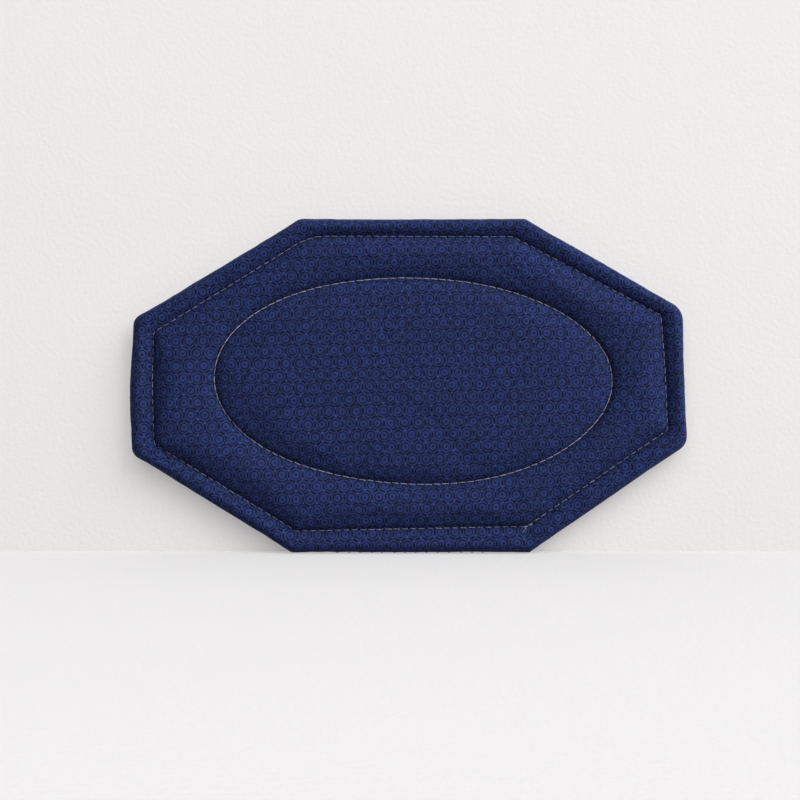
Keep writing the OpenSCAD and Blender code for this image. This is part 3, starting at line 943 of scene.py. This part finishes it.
def sewing_thread():
    """Pale grey spun thread, its tone mottled by dust. Three plies twist round it: the height is
    the sine of three times the turn less the length over the lay, and painted shade darkens the
    grooves between them."""
    material, tree, shader = new_material(
        "sewing_thread", Roughness=0.6, Specular_IOR_Level=0.35, Sheen_Weight=0.25,
        Sheen_Roughness=0.4)
    place = add_node(tree, "TexCoord").outputs["Object"]
    ply_map = add_node(tree, "UVMap", uv_map="ply").outputs[0]
    uv = add_node(tree, "SeparateXYZ", (ply_map,)).outputs
    lay = maths(tree, "DIVIDE", uv["X"], THREAD_LAY)
    turn = maths(tree, "MULTIPLY", uv["Y"], 3.0)
    phase = maths(tree, "MULTIPLY", maths(tree, "SUBTRACT", turn, lay), 2 * math.pi)
    ply = maths(tree, "ABSOLUTE", maths(tree, "SINE", maths(tree, "DIVIDE", phase, 2.0)))
    dust = noise(tree, place, 260.0, 3.0)
    colour = blend_colours(tree, spread(tree, dust, 0.35, 0.65), display(172, 173, 192),
                           display(204, 204, 216))
    # Painted shade in the grooves between the plies
    shade = spread(tree, ply, 0.0, 0.6, 0.6, 1.0)
    tree.links.new(times(tree, colour, shade), shader.inputs["Base Color"])
    relief(tree, shader, ply, 0.7, 0.00012)
    return material


THREAD = sewing_thread()


def thread_piece(name, paths, radius, *nodes, up=(0.0, 1.0, 0.0)):
    """One piece from all the stitches of a line, in place of the plain CAD line."""
    points, quads, uv = tubes(paths, radius, up)
    place_piece(mesh_piece(name, points, quads, uv, "ply"), THREAD, "pad", "thread", *nodes)


for number, line_name in enumerate(["perimeter", "oval"]):
    line = LINES[number]
    tight, cover = [(TIGHT, TIGHT_COVER), (1, STITCH_COVER)][number]
    level = cloth_level(front_points, front_place, number, line)
    paths, radius = stitch_paths(line, level, outward=-1, seed=21 + number, cover=cover,
                                 lift=STITCH_LIFT * tight ** 3)
    thread_piece(line_name + "_needle_stitches", paths, radius * tight,
                 line_name + "_needle_thread")
    level = cloth_level(back_points, back_place, number, line)
    paths, radius = stitch_paths(line, level, outward=1, seed=31 + number, cover=cover)
    thread_piece(line_name + "_bobbin_stitches", paths, radius, line_name + "_bobbin_thread")


# Thread end. The border line starts and stops at the lower right corner, where a short cut
# tail curls away over the border beside a small back-tacked knot.
TAIL_RINGS = 15
TAIL_RUN = 0.0028
TAIL_FALL = 0.0027
TAIL_BOW = 0.0016
KNOT_RINGS = 22
KNOT_TURNS = 1.6
KNOT_ACROSS = 0.00042
KNOT_UP = 0.00038

line_corner = inset_corners(BORDER)[4] + STITCH_SLIP[4]
line_level = float(cloth_level(front_points, front_place, 0, LINES[0]).mean())


def tail_path():
    """From the corner the tail runs down and left in an arc, lifted off the cloth in a bow and
    with its cut end turned back up."""
    t = np.linspace(0, 1, TAIL_RINGS)
    x = line_corner[0] + 0.0004 - TAIL_RUN * t - 0.0007 * np.sin(2 * np.pi * t)
    z = line_corner[1] - 0.0001 - TAIL_FALL * t ** 1.5 + 0.0006 * np.sin(np.pi * t)
    y = line_level - 0.0002 - TAIL_BOW * t ** 0.8
    return np.stack([x, y, z], 1)


def knot_path():
    """A flat coil that climbs away from the corner: KNOT_TURNS turns of a small ellipse."""
    t = np.linspace(0, 1, KNOT_RINGS)
    angle = 2 * np.pi * KNOT_TURNS * t
    x = line_corner[0] + 0.0024 + 0.0011 * (t - 0.5) + KNOT_ACROSS * np.cos(angle)
    z = line_corner[1] + 0.0008 + 0.0005 * (t - 0.5) + KNOT_UP * np.sin(angle)
    y = line_level - 0.00055 - 0.00025 * np.cos(angle * 0.7)
    return np.stack([x, y, z], 1)


def thread_end(name, path):
    """A piece of loose thread, frayed thin at its cut end."""
    out = np.linspace(0, 1, len(path))
    radius = THREAD_R * 0.85 * (1 - 0.35 * out ** 4)
    thread_piece(name, path[None], radius[None], up=(0.1, 0.2, 1.0))


thread_end("topstitch_tail", tail_path())
thread_end("topstitch_knot", knot_path())


# Edge seam and closing stitches. The covers are joined by a line of short stitches, hidden just
# inside the edge; the gap that the pad was turned through is closed by hand under the bottom.
SLIP_RINGS = 7
SLIP_STITCHES = 14
SLIP_SLANT = 0.0006
SLIP_BOW = 0.0005
SEAM_INSET = 0.0014
SEAM_STITCH = 0.0025
SEAM_THREAD = 0.6
slip_low, slip_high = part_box("closing_stitches")
slip_middle = (slip_low + slip_high) / 2


def slip_paths(count, seed):
    """Short stitches that cross the seam aslant, bowed down by a parabola round the edge."""
    rng = np.random.default_rng(seed)
    out = np.linspace(-1, 1, SLIP_RINGS)
    spot = np.linspace(slip_low.x, slip_high.x, count)[:, None] + rng.normal(0, 0.0003, (count, 1))
    x = spot + SLIP_SLANT * out
    y = slip_middle.y + (slip_high.y - slip_low.y) / 2 * out + 0 * spot
    z = slip_low.z + 0.0001 + SLIP_BOW * out ** 2 + 0 * spot
    return np.stack([x, y, z], -1), np.full((count, SLIP_RINGS), THREAD_R * 0.8)


paths, radius = slip_paths(SLIP_STITCHES, seed=41)
thread_piece("closing_slip_stitches", paths, radius, "closing_stitches", up=(0.0, 0.0, 1.0))
seam_line = stitch_marks(octagon_ring(np.full(8, SEAM_INSET), CORNER_RADIUS), SEAM_STITCH)
paths, radius = stitch_paths(seam_line, flat_level(seam_line, seam_y), outward=-1, seed=45,
                             lift=0)
thread_piece("edge_seam_stitches", paths, radius * SEAM_THREAD, "edge_seam_thread")


# Loop tapes. The soft half of the hook-and-loop: a woven black nylon tape with a brushed field
# of loops, sewn to the back cover by one box of stitches along its selvedge.
PATCHES = ["centre", "upper_left", "upper_right", "lower_left", "lower_right"]
TAPE_W = 0.016
SELVEDGE = 0.0025
TAPE_CORNER = 0.002
PILE_EDGE = 0.0004
# The four outer patches lie along the pad's diagonal edges
SLOPE = math.atan2(2 * half_h - END_FLAT, 2 * half_w - LONG_FLAT)
LOOP_BASE = 0.0005
LOOP_RINGS = 7
LOOP_STEP = 0.00115
LOOP_THREAD = 0.00007


def patch_frame(node):
    """Middle, length and turn of a tape from its node's box: the box of a turned rectangle is
    l cos + w sin wide, which gives its length, less a little for the rounded corners."""
    low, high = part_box(node)
    name = node.split("tape_")[-1]
    turn = 0.0 if name == "centre" else SLOPE
    cut = 2 * TAPE_CORNER * (math.cos(turn) + math.sin(turn) - 1)
    length = (high.x - low.x + cut - TAPE_W * math.sin(turn)) / math.cos(turn)
    sign = {"upper_left": -1, "lower_right": -1}.get(name, 1)
    return np.array([(low.x + high.x) / 2, (low.z + high.z) / 2]), length, sign * turn


def on_patch(local, node):
    """Turns tape coordinates (along, away from the wall, across) into the frame's x, y, z."""
    middle, _, turn = patch_frame(node)
    x = middle[0] + local[..., 0] * math.cos(turn) + local[..., 2] * math.sin(turn)
    z = middle[1] - local[..., 0] * math.sin(turn) + local[..., 2] * math.cos(turn)
    return np.stack([x, local[..., 1], z], -1)


def rounded_rectangle(length, width, radius, per_corner=6):
    """Ring of points round a rectangle whose corners are quarter circles, anticlockwise."""
    angle = np.linspace(0, np.pi / 2, per_corner)
    corners = []
    for k, (sx, sz) in enumerate([(1, 1), (-1, 1), (-1, -1), (1, -1)]):
        swing = angle + k * np.pi / 2
        corners.append(np.stack([sx * (length / 2 - radius) + radius * np.cos(swing),
                                 sz * (width / 2 - radius) + radius * np.sin(swing)], 1))
    return np.concatenate(corners)


def tape_slab(length, low_y, high_y, ease=0.00012):
    """A woven tape as a thin slab with eased rims, in the tape's own coordinates."""
    rings = []
    for inset, y in [(ease, low_y), (0, low_y + ease), (0, high_y - ease), (ease, high_y)]:
        plan = rounded_rectangle(length - 2 * inset, TAPE_W - 2 * inset, TAPE_CORNER - inset)
        rings.append(np.stack([plan[:, 0], np.full(len(plan), y), plan[:, 1]], 1))
    return stacked_rings(rings)


def pile_spots(length, step_x, step_z, seed):
    """Roots of a pile: a grid over the field inside the selvedge, each jogged a little."""
    rng = np.random.default_rng(seed)
    field_l, field_w = length - 2 * SELVEDGE, TAPE_W - 2 * SELVEDGE
    across = np.linspace(-field_l / 2, field_l / 2, int(field_l / step_x))
    up = np.linspace(-field_w / 2, field_w / 2, int(field_w / step_z))
    spots = np.stack(np.meshgrid(across, up, indexing="ij"), -1).reshape(-1, 2)
    spots += rng.uniform(-0.2, 0.2, spots.shape) * (step_x, step_z)
    edge = np.array([field_l, field_w]) / 2 - PILE_EDGE
    return np.clip(spots, -edge, edge), rng


def loop_pile(length, root_y, height, seed):
    """Loops: each an arch whose height is a sine over its span, turned and tipped at random."""
    spots, rng = pile_spots(length, LOOP_STEP, LOOP_STEP, seed)
    count = len(spots)
    t = np.linspace(0, 1, LOOP_RINGS)
    turn = rng.uniform(0, 2 * np.pi, (count, 1))
    span = rng.uniform(0.0003, 0.00055, (count, 1))
    tall = height * rng.uniform(0.6, 0.95, (count, 1))
    tip = rng.uniform(-0.0004, 0.0004, (count, 2))
    rise = np.sin(np.pi * (0.04 + 0.92 * t))
    along = -span * np.cos(np.pi * t)
    x = spots[:, :1] + along * np.cos(turn) + tip[:, :1] * rise
    z = spots[:, 1:] + along * np.sin(turn) + tip[:, 1:] * rise
    y = root_y + tall * rise
    up = np.stack([-np.sin(turn), 0 * turn, np.cos(turn)], -1)
    return tubes(np.stack([x, y, z], -1), np.full(x.shape, LOOP_THREAD), up, sides=4)


def joined(parts):
    """Several sets of points and quads as one."""
    start = np.cumsum([0] + [len(p) for p, _ in parts[:-1]])
    return (np.vstack([p for p, _ in parts]),
            np.vstack([q + s for (_, q), s in zip(parts, start)]))


def tape_piece(name, node, slab, pile, body, slot, material):
    """One tape from its slab and its pile, put on its patch, in place of its CAD node. Its UV
    is its own plan, in metres. Faces are turned round because the tape's own axes are
    left-handed."""
    points, quads = joined([slab[:2], pile[:2]])
    quads = quads[:, ::-1]
    plan = points[quads][..., [0, 2]].reshape(-1, 2)
    piece = mesh_piece(name, on_patch(points, node), quads, plan, "tape",
                       [cap[::-1] for cap in slab[2]])
    place_piece(piece, material, body, slot, node)


def woven_nylon(name, dark, light, spacing, roughness):
    """Black nylon tape: a plain weave by the tape's own plan, with painted shade in its
    hollows, and lint and dust caught in it as paler specks."""
    material, tree, shader = new_material(name, Roughness=roughness, Specular_IOR_Level=0.4,
                                          Sheen_Weight=0.2, Sheen_Roughness=0.4)
    place = add_node(tree, "TexCoord").outputs["Object"]
    tape = add_node(tree, "UVMap", uv_map="tape").outputs[0]
    weave = use_group(tree, WEAVE, {"Vector": tape, "Spacing": spacing})["Height"]
    lint = noise(tree, place, 900.0, 4.0)
    patch = noise(tree, place, 120.0, 3.0)
    # Painted shade: darker in the weave's hollows, paler on its raised threads
    colour = blend_colours(tree, spread(tree, weave, 0.1, 0.8), dark, light)
    colour = blend_colours(tree, spread(tree, lint, 0.62, 0.78, 0.0, 0.35), colour,
                           display(120, 120, 124))
    tree.links.new(colour, shader.inputs["Base Color"])
    tree.links.new(spread(tree, patch, 0.3, 0.7, roughness - 0.08, roughness + 0.08),
                   shader.inputs["Roughness"])
    relief(tree, shader, weave, 0.7, 0.00012)
    return material


LOOP_NYLON = woven_nylon("loop_nylon", display(20, 20, 23), display(44, 44, 49), 0.0005, 0.75)
for number, patch in enumerate(PATCHES):
    node = "loop_tape_" + patch
    low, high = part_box(node)
    _, length, _ = patch_frame(node)
    root_y = low.y + LOOP_BASE
    slab = tape_slab(length, low.y, root_y)
    pile = loop_pile(length, root_y, high.y - root_y, seed=50 + number)
    tape_piece(node + "_pile", node, slab, pile, "pad", "loop_tape", LOOP_NYLON)


# Loop tape stitching. One closed line of thread round each loop tape, half-way across the
# selvedge, in shorter and finer stitches than the topstitching.
TAPE_STITCH = 0.0026
TAPE_THREAD = 0.7
for number, patch in enumerate(PATCHES):
    node = "loop_tape_" + patch
    low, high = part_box(node)
    _, length, _ = patch_frame(node)
    plan = rounded_rectangle(length - SELVEDGE, TAPE_W - SELVEDGE, TAPE_CORNER / 2)
    middle_line = on_patch(np.stack([plan[:, 0], 0 * plan[:, 0], plan[:, 1]], 1), node)[:, [0, 2]]
    box_line = stitch_marks(middle_line, TAPE_STITCH)
    paths, radius = stitch_paths(box_line, flat_level(box_line, low.y + LOOP_BASE), outward=1,
                                 seed=60 + number)
    thread_piece("loop_tape_stitches_" + patch, paths, radius * TAPE_THREAD,
                 "loop_tape_stitching_" + patch)


# Hook tapes. The stiff half, which stays on the wall: a woven nylon tape with rows of moulded
# monofilament hooks, each a stem that bends over like a cane.
HOOK_STEP = 0.0014
HOOK_TURN = 1.15
HOOK_ROW = 0.00125
HOOK_WIRE = 0.00009
HOOK_BEND = 0.00024
HOOK_BASE = 0.0006


def hook_pile(length, root_y, height, seed):
    """Hooks: a straight stem, then HOOK_TURN half turns of a circle over the top. Each bends to
    the left or to the right by chance."""
    spots, rng = pile_spots(length, HOOK_STEP, HOOK_ROW, seed)
    count = len(spots)
    stem = height - HOOK_BEND - HOOK_WIRE
    swing = np.linspace(0, np.pi * HOOK_TURN, 6)
    along = np.concatenate([[0, 0], HOOK_BEND * (1 - np.cos(swing))])
    rise = np.concatenate([[-0.0001, stem * 0.5], stem + HOOK_BEND * np.sin(swing)])
    way = np.where(rng.uniform(size=(count, 1)) < 0.5, -1, 1)
    skew = rng.uniform(-0.5, 0.5, (count, 1))
    x = spots[:, :1] + way * along * np.cos(skew)
    z = spots[:, 1:] + way * along * np.sin(skew)
    y = root_y - rise + 0 * x
    up = np.stack([-np.sin(skew), 0 * skew, np.cos(skew)], -1)
    return tubes(np.stack([x, y, z], -1), np.full(x.shape, HOOK_WIRE), up, sides=4)


HOOK_NYLON = woven_nylon("hook_nylon", display(24, 24, 26), display(52, 52, 56), 0.00055, 0.45)
for number, patch in enumerate(PATCHES):
    node = "hook_tape_" + patch
    low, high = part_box(node)
    _, length, _ = patch_frame(node)
    root_y = high.y - HOOK_BASE
    slab = tape_slab(length, root_y, high.y)
    pile = hook_pile(length, root_y, root_y - low.y, seed=70 + number)
    tape_piece(node + "_hooks", node, slab, pile, "wall_side", "hook_tape", HOOK_NYLON)


# Adhesive. A die-cut patch of milky double-sided film under each hook tape, pressed on to the
# wall. The CAD solid has its shape already, and gets only its finish here.
def adhesive_film():
    """Milky, slightly tacky film with faint mottling and trapped bubbles."""
    material, tree, shader = new_material("adhesive_film", Roughness=0.35,
                                          Specular_IOR_Level=0.5)
    place = add_node(tree, "TexCoord").outputs["Object"]
    mottle = noise(tree, place, 300.0, 3.0)
    bubble = add_node(tree, "TexVoronoi", {"Vector": place, "Scale": 500.0}).outputs["Distance"]
    colour = blend_colours(tree, mottle, display(196, 194, 184), display(226, 224, 214))
    tree.links.new(colour, shader.inputs["Base Color"])
    tree.links.new(spread(tree, mottle, 0.3, 0.7, 0.28, 0.45), shader.inputs["Roughness"])
    relief(tree, shader, bubble, 0.3, 0.0001)
    return material


FILM = adhesive_film()
for patch in PATCHES:
    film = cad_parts["adhesive_" + patch]
    film.data.materials.clear()
    film.data.materials.append(FILM)


# Room. A matt off-white wall that the pad leans its back on and a pale floor that it stands
# on. The wall is seen only from the front, so that the pad's back can be looked at too.
FLOOR_Z = min(pad_low.z, slip_low.z) - 0.0001
REACH = 2.0
# Shares of the wall and the floor that glow as painted light, which keeps their shadows pale
WALL_PAINTED_LIGHT = 0.3
FLOOR_PAINTED_LIGHT = 0.5
AIR_STRENGTH = 0.1
BACKDROP_STRENGTH = 0.8


def flat_sheet(name, corners):
    """One square face for the room, from its four corners."""
    sheet = mesh_piece(name, np.array(corners, float), np.array([[0, 1, 2, 3]]))
    return sheet


def seen_directly(tree):
    """1 for the camera's rays and for those that mirrors and clear pieces pass on, else 0."""
    ray = add_node(tree, "LightPath").outputs
    mirrored = maths(tree, "MAXIMUM", ray["Is Glossy Ray"], ray["Is Transmission Ray"])
    return maths(tree, "MAXIMUM", ray["Is Camera Ray"], mirrored)


def paint(name, colour, dim_colour, painted_light_tone, painted_light_share, one_sided):
    """Matt paint with a faint orange peel. To the camera and in reflections a share of it glows
    with the tone it has in even light, a painted light which keeps the shadows on it pale. The
    light that it throws back on to the pad has the dim colour. A one-sided wall lets rays
    through from behind."""
    material, tree, shader = new_material(name, Roughness=0.9, Specular_IOR_Level=0.2)
    place = add_node(tree, "TexCoord").outputs["Object"]
    relief(tree, shader, noise(tree, place, 420.0, 4.0), 0.5, 0.0006)
    seen = seen_directly(tree)
    tree.links.new(blend_colours(tree, seen, dim_colour, colour), shader.inputs["Base Color"])
    # Painted light: a glow in the tone that the paint has in even light
    even = add_node(tree, "Emission", {"Color": painted_light_tone}).outputs[0]
    share = maths(tree, "MULTIPLY", seen, painted_light_share)
    surface = add_node(tree, "MixShader", (share, shader.outputs[0], even)).outputs[0]
    if one_sided:
        clear = add_node(tree, "BsdfTransparent").outputs[0]
        behind = add_node(tree, "NewGeometry").outputs["Backfacing"]
        surface = add_node(tree, "MixShader", (behind, surface, clear)).outputs[0]
    tree.links.new(surface, tree.nodes["Material Output"].inputs["Surface"])
    return material


wall = flat_sheet("room_wall", [(-REACH, 0, FLOOR_Z), (REACH, 0, FLOOR_Z),
                                (REACH, 0, REACH), (-REACH, 0, REACH)])
wall.data.materials.append(paint("wall_paint", display(229, 227, 226), display(200, 199, 199),
                                 display(240, 238, 237), WALL_PAINTED_LIGHT, one_sided=True))
# The wall casts no shadow, so that the lamp behind it reaches the backs of the pieces
wall.visible_shadow = False
floor = flat_sheet("room_floor", [(-REACH, -REACH, FLOOR_Z), (REACH, -REACH, FLOOR_Z),
                                  (REACH, REACH, FLOOR_Z), (-REACH, REACH, FLOOR_Z)])
floor.data.materials.append(paint("floor_paint", display(238, 237, 237), display(150, 149, 149),
                                  display(240, 238, 239), FLOOR_PAINTED_LIGHT, one_sided=False))


def soft_light(name, place, size, power, pieces):
    """A square soft box at a place, turned to face the origin, whose light falls on the given
    pieces alone."""
    data = bpy.data.lights.new(name, "AREA")
    data.size = size
    data.energy = power
    data.color = DAYLIGHT
    lamp = bpy.data.objects.new(name, data)
    bpy.context.scene.collection.objects.link(lamp)
    lamp.location = place
    way = -np.array(place)
    lamp.rotation_euler = (math.acos(-way[2] / np.linalg.norm(way)), 0,
                           math.atan2(way[1], way[0]) - math.pi / 2)
    lit = bpy.data.collections.new("lit_by_" + name)
    for piece in pieces:
        lit.objects.link(piece)
    lamp.light_linking.receiver_collection = lit


# One big window high on the right. Its light on the room is weaker than on the pad, and the
# room's own bounced light makes up for it, so that the shadow on the wall stays pale
ROOM = [wall, floor]
PIECES = [piece for piece in bpy.context.scene.objects
          if piece.type == "MESH" and piece not in ROOM]
WINDOW = (3.3, -2.8, 2.9)
DAYLIGHT = (1.0, 0.998, 0.992)
soft_light("window", WINDOW, size=4.0, power=356.0, pieces=PIECES)
soft_light("room_window", WINDOW, size=4.0, power=178.0, pieces=ROOM)
soft_light("room_bounce", (0.1, -2.4, 1.5), size=3.2, power=70.0, pieces=ROOM)
# A lamp behind the wall lights the backs of the pieces alone
soft_light("back", (0.6, 1.9, 1.1), size=1.2, power=40.0, pieces=PIECES)

# The air lights the pieces weakly, and is seen as a pale backdrop beyond the wall and the floor
world = bpy.data.worlds.new("room_air")
world.use_nodes = True
air = world.node_tree.nodes["Background"].inputs
air["Color"].default_value = (0.97, 0.98, 1.0, 1)
strength = spread(world.node_tree, seen_directly(world.node_tree), 0, 1, AIR_STRENGTH,
                  BACKDROP_STRENGTH)
world.node_tree.links.new(strength, air["Strength"])
bpy.context.scene.world = world
bpy.context.scene.view_settings.view_transform = "Standard"
